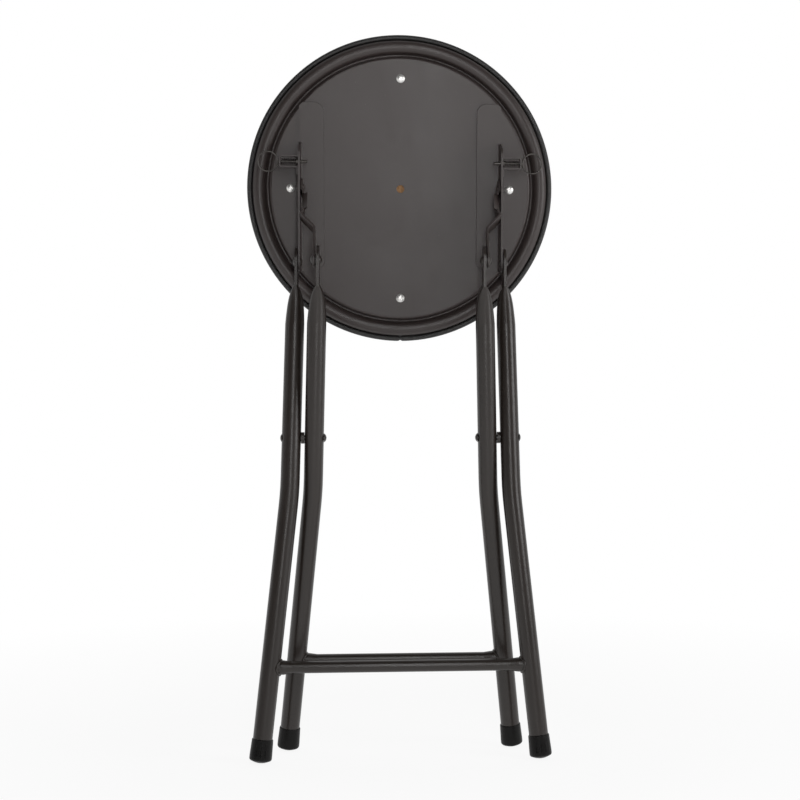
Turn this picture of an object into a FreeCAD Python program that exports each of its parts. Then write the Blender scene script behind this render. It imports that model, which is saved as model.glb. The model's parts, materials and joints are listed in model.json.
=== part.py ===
import FreeCAD, Part
import Sketcher
import math
import os

# Folding bar stool, folded and standing on its four feet. Millimetres, +Z up.
# The underside of the seat faces -Y and the hinge axes all run along X.
# Right-hand pieces are modelled and the left-hand ones are their mirror images.

Vector = FreeCAD.Vector
Rotation = FreeCAD.Rotation
Placement = FreeCAD.Placement

# Driving dimensions

DIMENSIONS = {
    "tube_dia": 22.2,
    "tube_wall": 1.2,
    "leg_pivot_up": 206.0,
    "foot_reach": 347.4,
    "foot_dome": 22.0,
    "scissor_forward": 31.94,
    "bend_down": 61.7,
    "bend_radius": 400.0,
    "outer_half_top": 121.75,
    "outer_half_mid": 126.8,
    "outer_half_foot": 158.2,
    "inner_half_top": 95.6,
    "inner_half_mid": 100.5,
    "inner_half_foot": 130.4,
    "ear_thick": 3.0,
    "ear_straight": 29.0,
    "ear_taper": 44.0,
    "crossbar_down": 262.5,
    "crossbar_dia": 13.7,
    "crossbar_flare": 16.6,
    "rivet_radius": 3.0,
    "scissor_rivet_radius": 3.2,
    "hole_clearance": 0.06,
    "side_gap": 0.3,
    "strap_thick": 2.5,
    "link_width": 17.5,
    "link_step": 2.3,
    "link_nose": 2.5,
    "ramp_root": 3.6,
    "ramp_rise": 6.15,
    "bracket_half": 118.6,
    "bracket_up": 101.0,
    "bracket_down": 98.0,
    "bracket_inner": 90.5,
    "bend_inside": 1.5,
    "sheet_edge": 0.45,
    "bracket_pivot_down": 87.0,
    "bracket_pivot_high": 32.0,
    "link_pivot_high": 23.0,
    "lock_reach": 30.0,
    "pan_thick": 1.5,
    "plate_radius": 155.2,
    "bead_crown_radius": 167.2,
    "bead_radius": 8.0,
    "screw_circle": 129.8,
    "centre_hole_radius": 4.7,
    "board_radius": 151.0,
    "board_thick": 9.5,
    "cushion_radius": 182.4,
    "seat_thick": 58.9,
    "pin_radius": 2.0,
    "pin_rod_radius": 1.3,
    "pin_tip_reach": 8.2,
    "housing_length": 21.8,
    "housing_height": 14.2,
    "housing_deep": 10.0,
    "housing_strap": 1.6,
    "ring_outer_radius": 12.4,
    "ring_wire_radius": 0.9,
    "spring_radius": 3.0,
    "spring_wire_radius": 0.4,
    "cap_length": 27.0,
    "cap_radius_top": 12.1,
    "cap_radius_foot": 12.8,
    "cap_floor": 3.8,
    "welt_radius": 3.2,
}

# Pose in the folded state, in degrees
LEG_LEAN = 5.0
SEAT_LEAN = 5.0

doc = FreeCAD.newDocument("folding_stool")
sheet = doc.addObject("Spreadsheet::Sheet", "sizes")
for row, (alias, number) in enumerate(DIMENSIONS.items(), start=1):
    sheet.set(f"A{row}", alias)
    sheet.set(f"B{row}", str(number))
    sheet.setAlias(f"B{row}", alias)
doc.recompute()


class Size:
    """A length that carries its number and the sheet formula that gives it."""

    def __init__(self, number, formula):
        self.number = number
        self.formula = formula

    @staticmethod
    def of(thing):
        return thing if isinstance(thing, Size) else Size(float(thing), repr(float(thing)))

    def join(self, other, sign, number):
        other = Size.of(other)
        return Size(number, f"({self.formula} {sign} {other.formula})")

    def __add__(self, other):
        return self.join(other, "+", self.number + Size.of(other).number)

    def __sub__(self, other):
        return self.join(other, "-", self.number - Size.of(other).number)

    def __mul__(self, other):
        return self.join(other, "*", self.number * Size.of(other).number)

    def __truediv__(self, other):
        return self.join(other, "/", self.number / Size.of(other).number)

    def __neg__(self):
        return Size(-self.number, f"(-1 * {self.formula})")


def dim(alias):
    return Size(DIMENSIONS[alias], f"sizes.{alias}")


# Sketch and feature helpers

def new_body(label):
    body = doc.addObject("PartDesign::Body", label)
    body.Label = label
    return body


def new_sketch(body, role, name, offset=None):
    """A sketch on one of the body's own planes, moved along its normal by offset."""
    sketch = body.newObject("Sketcher::SketchObject", f"{body.Label}_{name}")
    plane = next(item for item in body.Origin.OriginFeatures if item.Role == role)
    sketch.AttachmentSupport = [(plane, "")]
    sketch.MapMode = "FlatFace"
    if offset is not None:
        offset = Size.of(offset)
        sketch.AttachmentOffset = Placement(Vector(0, 0, offset.number), Rotation())
        sketch.setExpression(".AttachmentOffset.Base.z", offset.formula)
    return sketch


def pin_point(sketch, geometry, end, x, y):
    """Fix a point at a place that the sheet drives."""
    for kind, size in (("DistanceX", Size.of(x)), ("DistanceY", Size.of(y))):
        number = sketch.addConstraint(Sketcher.Constraint(kind, -1, 1, geometry, end, size.number))
        if size.formula != repr(size.number):
            sketch.setExpression(f"Constraints[{number}]", size.formula)


def arc_centre(start, end, radius, side):
    """Centre of the arc from start to end; side +1 puts it on the left of the chord."""
    chord = end.sub(start)
    half = chord.Length / 2
    rise = math.sqrt(max(radius * radius - half * half, 0.0))
    left = Vector(-chord.y, chord.x, 0).normalize()
    return start.add(chord * 0.5).add(left * (rise * side))


def outline(sketch, items):
    """Close an outline. Each item is (x, y) for a line to that point, or
    (x, y, radius, side) for an arc under half a circle to it."""
    points = [Vector(Size.of(item[0]).number, Size.of(item[1]).number, 0) for item in items]
    count = len(items)
    indices = []
    for index, item in enumerate(items):
        start, end = points[index - 1], points[index]
        if len(item) == 2:
            indices.append(sketch.addGeometry(Part.LineSegment(start, end)))
            continue
        radius = Size.of(item[2])
        centre = arc_centre(start, end, radius.number, item[3])
        first = math.atan2(start.y - centre.y, start.x - centre.x)
        last = math.atan2(end.y - centre.y, end.x - centre.x)
        if item[3] < 0:
            first, last = last, first
        circle = Part.Circle(centre, Vector(0, 0, 1), radius.number)
        indices.append(sketch.addGeometry(Part.ArcOfCircle(circle, first, last)))
    ends = []
    for index, item in enumerate(items):
        forward = len(item) == 2 or item[3] > 0
        ends.append((1, 2) if forward else (2, 1))
    for index in range(count):
        after = (index + 1) % count
        sketch.addConstraint(Sketcher.Constraint(
            "Coincident", indices[index], ends[index][1], indices[after], ends[after][0]))
        pin_point(sketch, indices[index], ends[index][1], items[index][0], items[index][1])
        if len(items[index]) == 4:
            radius = Size.of(items[index][2])
            number = sketch.addConstraint(
                Sketcher.Constraint("Radius", indices[index], radius.number))
            if radius.formula != repr(radius.number):
                sketch.setExpression(f"Constraints[{number}]", radius.formula)
    return sketch


def circle(sketch, x, y, radius):
    x, y, radius = Size.of(x), Size.of(y), Size.of(radius)
    shape = Part.Circle(Vector(x.number, y.number, 0), Vector(0, 0, 1), radius.number)
    index = sketch.addGeometry(shape)
    pin_point(sketch, index, 3, x, y)
    number = sketch.addConstraint(Sketcher.Constraint("Radius", index, radius.number))
    if radius.formula != repr(radius.number):
        sketch.setExpression(f"Constraints[{number}]", radius.formula)
    return sketch


def drive(item, prop, size):
    size = Size.of(size)
    setattr(item, prop, size.number)
    item.setExpression(prop, size.formula)


def pad(body, sketch, length, midplane=False, reverse=False):
    feature = body.newObject("PartDesign::Pad", f"{sketch.Name}_pad")
    feature.Profile = sketch
    drive(feature, "Length", length)
    feature.Midplane = midplane
    feature.Reversed = reverse
    return feature


def pocket(body, sketch, length, midplane=False, reverse=False):
    feature = body.newObject("PartDesign::Pocket", f"{sketch.Name}_pocket")
    feature.Profile = sketch
    drive(feature, "Length", length)
    feature.Midplane = midplane
    feature.Reversed = reverse
    return feature


def revolve(body, sketch, axis="V_Axis", cut=False):
    kind = "PartDesign::Groove" if cut else "PartDesign::Revolution"
    feature = body.newObject(kind, f"{sketch.Name}_turn")
    feature.Profile = sketch
    feature.ReferenceAxis = (sketch, [axis])
    feature.Angle = 360.0
    return feature


def sweep(body, profile, path, cut=False):
    kind = "PartDesign::SubtractivePipe" if cut else "PartDesign::AdditivePipe"
    feature = body.newObject(kind, f"{profile.Name}_sweep")
    feature.Profile = profile
    feature.Spine = path
    return feature


def loft(body, first, others, cut=False):
    kind = "PartDesign::SubtractiveLoft" if cut else "PartDesign::AdditiveLoft"
    feature = body.newObject(kind, f"{first.Name}_loft")
    feature.Profile = first
    feature.Sections = others
    return feature


def soften(body, wanted):
    """Round the sheet edges that the test picks."""
    doc.recompute()
    last = body.Tip
    edges = enumerate(last.Shape.Edges, start=1)
    names = [f"Edge{number}" for number, edge in edges if wanted(edge)]
    feature = body.newObject("PartDesign::Fillet", f"{body.Label}_soft")
    feature.Base = (last, names)
    drive(feature, "Radius", dim("sheet_edge"))


def in_plane(edge, direction, place):
    """Whether an edge lies in the plane across direction at that place, and isn't a hole."""
    box = edge.BoundBox
    low, high = getattr(box, f"{direction}Min"), getattr(box, f"{direction}Max")
    return high - low < 0.01 and abs(low - place.number) < 0.01 and len(edge.Vertexes) == 2


def turned(label, profile, place, plane="XZ_Plane", axis="H_Axis"):
    """A round piece from half its outline, turned about the sketch's own axis."""
    body = new_body(label)
    revolve(body, outline(new_sketch(body, plane, "profile"), profile), axis)
    body.Placement = place
    return body


def mirrored(source, label):
    """The left-hand copy of a right-hand piece."""
    copy = doc.addObject("Part::Mirroring", label)
    copy.Label = label
    copy.Source = source
    copy.Base = Vector(0, 0, 0)
    copy.Normal = Vector(1, 0, 0)
    return copy


# Where the frames, the seat and the links sit

def value(alias):
    return DIMENSIONS[alias]


def tilt(degrees):
    return Rotation(Vector(1, 0, 0), degrees)


def open_geometry():
    """Link length and the half angle of the legs when the seat is level."""
    up, high = value("bracket_pivot_down"), value("link_pivot_high") - value("bracket_pivot_high")
    reach = value("leg_pivot_up")
    lean, leg = math.radians(SEAT_LEAN), math.radians(LEG_LEAN)
    across = 2 * reach * math.sin(leg) - up * math.sin(lean) - high * math.cos(lean)
    above = up * math.cos(lean) - high * math.sin(lean)
    length = math.hypot(across, above)
    flat = math.sqrt(length * length - high * high) + up
    return length, math.asin(flat / (2 * reach)), math.atan2(across, above)


LINK_LENGTH, OPEN_HALF_ANGLE, LINK_LEAN = open_geometry()

scissor_height = value("foot_reach") * math.cos(math.radians(LEG_LEAN)) + value("foot_dome")
scissor = Vector(0, -value("scissor_forward"), scissor_height)
outer_place = Placement(scissor, tilt(-LEG_LEAN))
inner_place = Placement(scissor, tilt(LEG_LEAN))
seat_turn = tilt(SEAT_LEAN)
bracket_pivot = outer_place.multVec(Vector(0, 0, value("leg_pivot_up")))
pivot_in_seat = Vector(0, -value("bracket_pivot_high"), -value("bracket_pivot_down"))
seat_place = Placement(bracket_pivot.sub(seat_turn.multVec(pivot_in_seat)), seat_turn)
link_pivot = seat_place.multVec(Vector(0, -value("link_pivot_high"), 0))
link_place = Placement(link_pivot, tilt(-math.degrees(LINK_LEAN)))

nodes = []


def keep(item):
    nodes.append(item)
    return item


def keep_pair(right, name):
    """Register a right-hand piece and make its left-hand partner."""
    keep(right)
    keep(mirrored(right, f"{name}_left"))


# Legs

def flat_width(thick):
    """Width of the tube when it is pressed to a thickness: its girth stays the same."""
    return dim("tube_dia") * (math.pi / 2) - Size.of(thick) * (math.pi / 2 - 1)


def slot_section(body, name, level, centre, thick):
    """A flattened-tube section: two flats and four quarter rounds, across the leg."""
    centre, thick = Size.of(centre), Size.of(thick)
    round_r = thick / 2
    flat = (flat_width(thick) - thick) / 2
    side = centre + round_r
    inner = centre - round_r
    sketch = new_sketch(body, "XY_Plane", name, level)
    return outline(sketch, [
        (side, flat),
        (centre, flat + round_r, round_r, 1),
        (inner, flat, round_r, 1),
        (inner, -flat),
        (centre, -(flat + round_r), round_r, 1),
        (side, -flat, round_r, 1),
    ])


def leg_path(body, half_top, half_mid, half_foot, start, stop):
    """Centre line of a leg: straight, one wide bend under the scissor pivot, straight."""
    up, down = dim("leg_pivot_up"), dim("bend_down")
    slope = (half_mid - half_top) / up
    bend_x = half_mid + slope * down
    slope_low = (half_foot - bend_x) / (dim("foot_reach") - down)
    top_x = half_mid - slope * start
    foot_x = bend_x + slope_low * (stop - down)
    turn = math.atan(slope_low.number) - math.atan(slope.number)
    tangent = value("bend_radius") * math.tan(turn / 2)
    corner = Vector(bend_x.number, -down.number, 0)
    top = Vector(top_x.number, start.number, 0)
    foot = Vector(foot_x.number, -stop.number, 0)
    before = corner.add((top.sub(corner)).normalize() * tangent)
    after = corner.add((foot.sub(corner)).normalize() * tangent)
    centre = arc_centre(before, after, value("bend_radius"), 1)
    sketch = new_sketch(body, "XZ_Plane", "path")
    sketch.addGeometry(Part.LineSegment(top, before))
    ring = Part.Circle(centre, Vector(0, 0, 1), value("bend_radius"))
    first = math.atan2(before.y - centre.y, before.x - centre.x)
    last = math.atan2(after.y - centre.y, after.x - centre.x)
    sketch.addGeometry(Part.ArcOfCircle(ring, first, last))
    sketch.addGeometry(Part.LineSegment(after, foot))
    guide = sketch.addGeometry(Part.Point(corner), True)
    sketch.addConstraint(Sketcher.Constraint("Tangent", 0, 2, 1, 1))
    sketch.addConstraint(Sketcher.Constraint("Tangent", 1, 2, 2, 1))
    pin_point(sketch, 0, 1, top_x, start)
    pin_point(sketch, 2, 2, foot_x, -stop)
    pin_point(sketch, guide, 1, bend_x, -down)
    sketch.addConstraint(Sketcher.Constraint("PointOnObject", guide, 1, 0))
    sketch.addConstraint(Sketcher.Constraint("PointOnObject", guide, 1, 2))
    number = sketch.addConstraint(Sketcher.Constraint("Radius", 1, value("bend_radius")))
    sketch.setExpression(f"Constraints[{number}]", dim("bend_radius").formula)
    return sketch, top_x


# Share of the way down the shoulder of a leg, and how far the tube has opened out there
PRESSED_STEPS = [(0.6, 0.87), (0.3, 0.66), (0.12, 0.38)]


def tube_leg(label, half_top, half_mid, half_foot, place):
    """A bent tube with a flattened, drilled ear at its top and a hole at the scissor."""
    body = new_body(label)
    up, tube, wall = dim("leg_pivot_up"), dim("tube_dia"), dim("tube_wall")
    flat_level = up - dim("ear_straight")
    round_level = flat_level - dim("ear_taper")
    stop = dim("foot_reach") + dim("foot_dome") - dim("cap_floor") - 1.0
    path, top_x = leg_path(body, half_top, half_mid, half_foot, round_level, stop)
    ring = circle(new_sketch(body, "XY_Plane", "ring", round_level), top_x, 0, tube / 2)
    sweep(body, ring, path)
    first = slot_section(body, "round", round_level, top_x, tube - 0.02)
    others = []
    for number, (share, thickness) in enumerate(PRESSED_STEPS):
        level = flat_level - dim("ear_taper") * share
        centre = half_top + (top_x - half_top) * share
        thick = dim("ear_thick") + (tube - dim("ear_thick")) * thickness
        others.append(slot_section(body, f"pressed_{number}", level, centre, thick))
    others.append(slot_section(body, "flat", flat_level, half_top, dim("ear_thick")))
    loft(body, first, others)
    ear = new_sketch(body, "YZ_Plane", "ear", half_top)
    half = flat_width(dim("ear_thick")) / 2
    outline(ear, [
        (half, flat_level - 1.0), (half, up), (0, up + half, half, 1), (-half, up, half, 1),
        (-half, flat_level - 1.0),
    ])
    pad(body, ear, dim("ear_thick"), midplane=True)
    bore = circle(new_sketch(body, "XY_Plane", "bore", round_level), top_x, 0, tube / 2 - wall)
    sweep(body, bore, path, cut=True)
    holes = new_sketch(body, "YZ_Plane", "pivot_holes")
    circle(holes, 0, 0, dim("scissor_rivet_radius") + dim("hole_clearance"))
    circle(holes, 0, up, dim("rivet_radius") + dim("hole_clearance"))
    pocket(body, holes, half_mid + tube, reverse=True)
    body.Placement = place
    return body


outer_leg = tube_leg(
    "outer_leg_right", dim("outer_half_top"), dim("outer_half_mid"), dim("outer_half_foot"),
    outer_place)
keep_pair(outer_leg, "outer_leg")
inner_leg = tube_leg(
    "inner_leg_right", dim("inner_half_top"), dim("inner_half_mid"), dim("inner_half_foot"),
    inner_place)
keep_pair(inner_leg, "inner_leg")


# Crossbars and foot caps

def lower_line(half_top, half_mid, half_foot):
    """Half width of a frame at its bend, and its outward slope below the bend."""
    slope = (half_mid.number - half_top.number) / value("leg_pivot_up")
    bend_x = half_mid.number + slope * value("bend_down")
    return bend_x, (half_foot.number - bend_x) / (value("foot_reach") - value("bend_down"))


def crossbar(label, half_top, half_mid, half_foot, place):
    """A tube between the two legs of a frame, flared and coped where it meets them."""
    bend_x, slope = lower_line(half_top, half_mid, half_foot)
    down = value("crossbar_down")
    reach = Size.of(bend_x + slope * (down - value("bend_down")))
    bar, flare, wall = dim("crossbar_dia") / 2, dim("crossbar_flare") / 2, dim("tube_wall")
    leg = dim("tube_dia") / 2
    blank = new_body(f"{label}_blank")
    flare_start, flare_end = reach - leg - 13.0, reach - leg - 3.0
    outline(new_sketch(blank, "XZ_Plane", "profile"), [
        (reach, flare), (flare_end, flare), (flare_start, bar), (-flare_start, bar),
        (-flare_end, flare), (-reach, flare), (-reach, flare - wall),
        (-flare_end, flare - wall), (-flare_start, bar - wall), (flare_start, bar - wall),
        (flare_end, flare - wall), (reach, flare - wall),
    ])
    revolve(blank, blank.Group[-1], "H_Axis")
    blank.Placement = place.multiply(Placement(Vector(0, 0, -down), Rotation()))
    splay = math.degrees(math.atan(slope))
    shaped = blank
    for side in (1, -1):
        tool = doc.addObject("Part::Cylinder", f"{label}_cope")
        drive(tool, "Radius", leg + 0.03)
        tool.Height = 60.0
        turn = Rotation(Vector(0, 1, 0), -side * splay)
        centre = Vector(side * reach.number, 0, -down)
        low = centre.sub(turn.multVec(Vector(0, 0, 30.0)))
        tool.Placement = place.multiply(Placement(low, turn))
        cut = doc.addObject("Part::Cut", f"{label}_cut")
        cut.Base = shaped
        cut.Tool = tool
        shaped = cut
    shaped.Label = label
    return shaped


def foot_cap(label, half_top, half_mid, half_foot, place, flute_side):
    """A moulded cap with a domed sole and three flutes on the outward face."""
    bend_x, slope = lower_line(half_top, half_mid, half_foot)
    dome, inner = dim("foot_dome"), dim("tube_dia") / 2 + 0.05
    top, wide = dim("cap_radius_top"), dim("cap_radius_foot")
    body = new_body(label)
    sole = wide - 2.5
    sole_z = -math.sqrt(dome.number ** 2 - sole.number ** 2)
    rim = dim("cap_length") - dome
    floor = dim("cap_floor") - dome
    profile = outline(new_sketch(body, "XZ_Plane", "profile"), [
        (sole, sole_z, dome, 1), (wide, -16.8, 2.9, 1), (wide, -13.0), (top, rim - 0.8),
        (top - 0.5, rim), (inner, rim), (inner, floor), (0, floor), (0, -dome),
    ])
    revolve(body, profile)
    flutes = new_sketch(body, "XY_Plane", "flutes", 1.0)
    for step in (-1, 0, 1):
        angle = math.radians(90.0 + 24.0 * step)
        circle(flutes, wide * math.cos(angle), wide * (flute_side * math.sin(angle)), 0.75)
    pocket(body, flutes, 15.0)
    turn = Rotation(Vector(0, 1, 0), -math.degrees(math.atan(slope)))
    reach = value("foot_reach")
    centre = Vector(bend_x + slope * (reach - value("bend_down")), 0, -reach)
    body.Placement = place.multiply(Placement(centre, turn))
    return body


for frame_name, frame_place, flute_side in (("outer", outer_place, -1), ("inner", inner_place, 1)):
    widths = [dim(f"{frame_name}_half_{level}") for level in ("top", "mid", "foot")]
    keep(crossbar(f"{frame_name}_crossbar", *widths, frame_place))
    cap = foot_cap(f"{frame_name}_foot_right", *widths, frame_place, flute_side)
    keep_pair(cap, f"{frame_name}_foot")


# Rivets, spacers and washers

def dome_radius(rise, width):
    """Radius of a cap that is width wide (half) and rises by rise."""
    return (rise * rise + width * width) / (rise * 2)


def rivet(label, start, grip_start, grip_end, end, shank, head_start, head_end, place):
    """A domed rivet along X. A head of no width leaves that end flush."""
    items = []
    if head_end is None:
        items += [(end, 0), (end, shank)]
    else:
        items += [(end, 0), (grip_end, head_end, dome_radius(end - grip_end, head_end), 1),
                  (grip_end, shank)]
    if head_start is None:
        items += [(start, shank), (start, 0)]
    else:
        items += [(grip_start, shank), (grip_start, head_start),
                  (start, 0, dome_radius(grip_start - start, head_start), 1)]
    return turned(label, items, place)


def ring(label, start, end, bore, outer, place):
    """A plain washer or spacer along X."""
    return turned(label, [(start, bore), (end, bore), (end, outer), (start, outer)], place)


gap = dim("side_gap")
shank = dim("rivet_radius")
clear = dim("hole_clearance")
strap = dim("strap_thick")
flange_in = dim("bracket_half") - strap / 2
flange_out = dim("bracket_half") + strap / 2
ear_out = dim("outer_half_top") + dim("ear_thick") / 2
link_out = flange_in - gap
link_in = link_out - strap
inner_ear_in = dim("inner_half_top") - dim("ear_thick") / 2
inner_ear_out = dim("inner_half_top") + dim("ear_thick") / 2
washer_out = inner_ear_out + 1.6
low_link_in = washer_out + gap
low_link_out = low_link_in + strap
tube_r = dim("tube_dia") / 2
leg_top = Placement(Vector(0, 0, value("leg_pivot_up")), Rotation())

keep_pair(rivet(
    "scissor_rivet_right", dim("inner_half_mid") - tube_r - gap - 2.8,
    dim("inner_half_mid") - tube_r - gap, dim("outer_half_mid") + tube_r + 0.12,
    dim("outer_half_mid") + tube_r + 1.8, dim("scissor_rivet_radius"), Size.of(5.3),
    Size.of(4.6), outer_place), "scissor_rivet")
keep_pair(ring(
    "scissor_spacer_right", dim("inner_half_mid") + tube_r + gap,
    dim("outer_half_mid") - tube_r - 0.2, dim("scissor_rivet_radius") + 0.03, Size.of(6.7),
    outer_place), "scissor_spacer")
keep_pair(rivet(
    "bracket_rivet_right", flange_in - gap - 2.2, flange_in - gap, ear_out, ear_out + 3.0,
    shank, Size.of(5.0), Size.of(4.9), outer_place.multiply(leg_top)), "bracket_rivet")
keep_pair(rivet(
    "link_rivet_right", inner_ear_in - 3.2, inner_ear_in, washer_out, washer_out, shank,
    Size.of(5.4), None, inner_place.multiply(leg_top)), "link_rivet")
keep_pair(ring(
    "link_washer_right", inner_ear_out, washer_out, shank + 0.03, Size.of(7.0),
    inner_place.multiply(leg_top)), "link_washer")
keep_pair(rivet(
    "seat_rivet_right", link_in - gap - 2.3, link_in - gap, flange_out, flange_out + 2.0,
    shank, Size.of(4.8), Size.of(5.0),
    seat_place.multiply(Placement(Vector(0, -value("link_pivot_high"), 0), Rotation()))),
    "seat_rivet")
keep_pair(rivet(
    "link_stud_right", low_link_in, low_link_in, low_link_out, low_link_out + 3.2, shank,
    None, Size.of(6.0),
    link_place.multiply(Placement(Vector(0, 0, -LINK_LENGTH), Rotation()))), "link_stud")


# Links

def strap_outline(points, thick):
    """Both sides of a bent strap of even thickness, mitred at its bends."""
    def normal(a, b):
        along = b.sub(a).normalize()
        return Vector(-along.y, along.x, 0)

    sides = []
    for side in (1, -1):
        row = []
        for index, point in enumerate(points):
            before = normal(points[max(index - 1, 0)], points[max(index, 1)])
            after = normal(points[min(index, len(points) - 2)], points[min(index + 1, len(points) - 1)])
            mean = before.add(after)
            scale = thick / 2 / (mean.normalize() * before)
            row.append(point.add(mean * (scale * side)))
        sides.append(row)
    return [(p.x, p.y) for p in sides[0]] + [(p.x, p.y) for p in reversed(sides[1])]


def link_strap(label):
    """The zig-zag strap: flat at the seat rivet, raised at the lock hole, then stepped in to
    the inner leg. Its leading edge is turned in there as a ramp that lifts the lock pin."""
    body = new_body(label)
    thick, half = dim("strap_thick"), dim("link_width") / 2
    upper = (link_in.number + link_out.number) / 2
    lower = (low_link_in.number + low_link_out.number) / 2
    raised = upper - value("link_step")
    end = value("link_nose") + half.number
    bends = [(upper, end), (upper, -5.0), (raised, -10.6), (raised, -33.6), (upper - 0.2, -38.4),
             (lower, -56.2), (lower, -LINK_LENGTH - half.number)]
    points = [Vector(x, z, 0) for x, z in bends]
    side = outline(new_sketch(body, "XZ_Plane", "side"), strap_outline(points, thick.number))
    pad(body, side, dim("link_width"), midplane=True)
    root, rise = dim("ramp_root"), dim("ramp_rise")
    notch = new_sketch(body, "YZ_Plane", "notch")
    outline(notch, [(-root, RAMP_TOP), (-20.0, RAMP_TOP), (-20.0, RAMP_LOW), (-root, RAMP_LOW)])
    pocket(body, notch, dim("bracket_half"), reverse=True)
    face = Size.of(raised) + thick / 2
    inside = face - thick
    mitre = thick * math.tan(math.radians(22.5))
    ramp = new_sketch(body, "XY_Plane", "ramp", RAMP_LOW)
    outline(ramp, [
        (face, -root + 1.0), (face, -root), (face - rise, -root - rise),
        (face - rise, mitre - root - rise + thick), (inside, mitre - root), (inside, -root + 1.0),
    ])
    pad(body, ramp, RAMP_TOP - RAMP_LOW)
    trim = new_sketch(body, "YZ_Plane", "plan")
    outline(trim, [(40, -140), (40, 40), (-40, 40), (-40, -140)])
    nose, tip = dim("link_nose"), root + rise + 1.0
    outline(trim, [
        (half, nose), (0, nose + half, half, 1), (-half, nose, half, 1), (-half, -5.6),
        (-tip, RAMP_TOP - 3.0), (-tip, RAMP_LOW + 1.5), (-half, RAMP_LOW), (-half, -LINK_LENGTH),
        (0, -half - LINK_LENGTH, half, 1), (half, -LINK_LENGTH, half, 1),
    ])
    pocket(body, trim, dim("bracket_half") + 20, reverse=True)
    holes = new_sketch(body, "YZ_Plane", "holes")
    circle(holes, 0, 0, shank + clear)
    circle(holes, 0, -LINK_LENGTH, shank + clear)
    circle(holes, 0, -dim("lock_reach"), dim("pin_radius") + 0.6)
    pocket(body, holes, dim("bracket_half") + 20, reverse=True)
    soften(body, lambda edge: in_plane(edge, "Y", -half))
    body.Placement = link_place
    return body


# The ramp's upper and lower ends along the link
RAMP_TOP = -11.8
RAMP_LOW = -31.0

keep_pair(link_strap("link_right"), "link")


# Seat: everything here is drawn in the seat's own frame. Y runs into the padding and the
# flat underside of the pan lies at Y = 0. Z runs up the folded seat.

def pan():
    """Pressed pan: flat plate, deep groove, half-round bead and a short rim."""
    body = new_body("seat_pan")
    plate, thick = dim("plate_radius"), dim("pan_thick")
    crown, bead = dim("bead_crown_radius"), dim("bead_radius")
    bend, groove_y = 3.3, 5.5
    bead_y = bead - 0.5
    foot = crown - math.sqrt(bead.number ** 2 - (bead_y.number - groove_y) ** 2)
    groove = (foot - plate) / 2
    inner_foot = foot + thick
    outer = groove + thick
    rim = crown + bead
    profile = outline(new_sketch(body, "XY_Plane", "profile"), [
        (plate - bend, 0), (plate, bend, bend, 1), (plate, groove_y),
        (plate + groove, Size.of(groove_y) + groove, groove, -1), (foot, groove_y, groove, -1),
        (crown, bead_y - bead, bead, 1), (rim, bead_y, bead, 1), (rim, bead_y + 1.5),
        (rim - thick, bead_y + 1.5), (rim - thick, bead_y),
        (crown, bead_y - bead + thick, bead - thick, -1),
        (inner_foot, groove_y, bead - thick, -1),
        (plate + groove, Size.of(groove_y) + outer, outer, 1),
        (plate - thick, groove_y, outer, 1), (plate - thick, bend),
        (plate - bend, thick, Size.of(bend) - thick, -1),
        (dim("centre_hole_radius"), thick), (dim("centre_hole_radius"), 0),
    ])
    revolve(body, profile)
    holes = new_sketch(body, "XZ_Plane", "screw_holes", 5.0)
    for x, z in screw_spots():
        circle(holes, x, z, 2.6)
    pocket(body, holes, 10.0)
    body.Placement = seat_place
    return body


def screw_spots():
    """The four screws sit on the vertical and the horizontal diameter of the pan."""
    pitch = dim("screw_circle")
    return [(pitch, 0), (0, pitch), (-pitch, 0), (0, -pitch)]


def board():
    body = new_body("seat_board")
    wide, low = dim("board_radius"), dim("pan_thick")
    high = low + dim("board_thick")
    profile = outline(new_sketch(body, "XY_Plane", "profile"), [
        (0, low), (wide, low), (wide, high - 1.5), (wide - 1.5, high), (0, high)])
    revolve(body, profile)
    holes = new_sketch(body, "XZ_Plane", "pilot_holes")
    for x, z in screw_spots():
        circle(holes, x, z, 2.0)
    pocket(body, holes, 20.0)
    body.Placement = seat_place
    return body


def screws():
    """Four pan-head screws with a cross recess, as one group."""
    body = new_body("seat_screw")
    profile = outline(new_sketch(body, "XY_Plane", "profile"), [
        (0, -3.0), (5.0, -0.9, 6.8, 1), (5.0, 0), (1.95, 0), (1.95, 8.0), (0, 9.6)])
    revolve(body, profile)
    cross = new_sketch(body, "XZ_Plane", "recess", 3.2)
    arm, half = 2.6, 0.55
    outline(cross, [
        (arm, half), (half, half), (half, arm), (-half, arm), (-half, half), (-arm, half),
        (-arm, -half), (-half, -half), (-half, -arm), (half, -arm), (half, -half), (arm, -half)])
    pocket(body, cross, 2.0)
    doc.recompute()
    copies = []
    for index, (x, z) in enumerate(screw_spots()):
        copy = body.Shape.copy()
        turn = Rotation(Vector(0, 1, 0), 20.0 + 37.0 * index)
        spot = Vector(Size.of(x).number, 0, Size.of(z).number)
        copy.Placement = seat_place.multiply(Placement(spot, turn))
        copies.append(copy)
    group = doc.addObject("Part::Feature", "seat_screws")
    group.Label = "seat_screws"
    group.Shape = Part.makeCompound(copies)
    return group


def cushion_skin(inset):
    """Top and side of the padding from its lower edge to its crown, moved in by inset."""
    wide = dim("cushion_radius") - inset
    crown = dim("seat_thick") - inset
    edge, drop = wide - 12.4, 7.4
    return [
        (wide - 2.6, 44.0, 40.0, 1), (edge, crown - drop, 12.5, 1),
        (0, crown, dome_radius(Size.of(drop), edge), 1),
    ]


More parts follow.
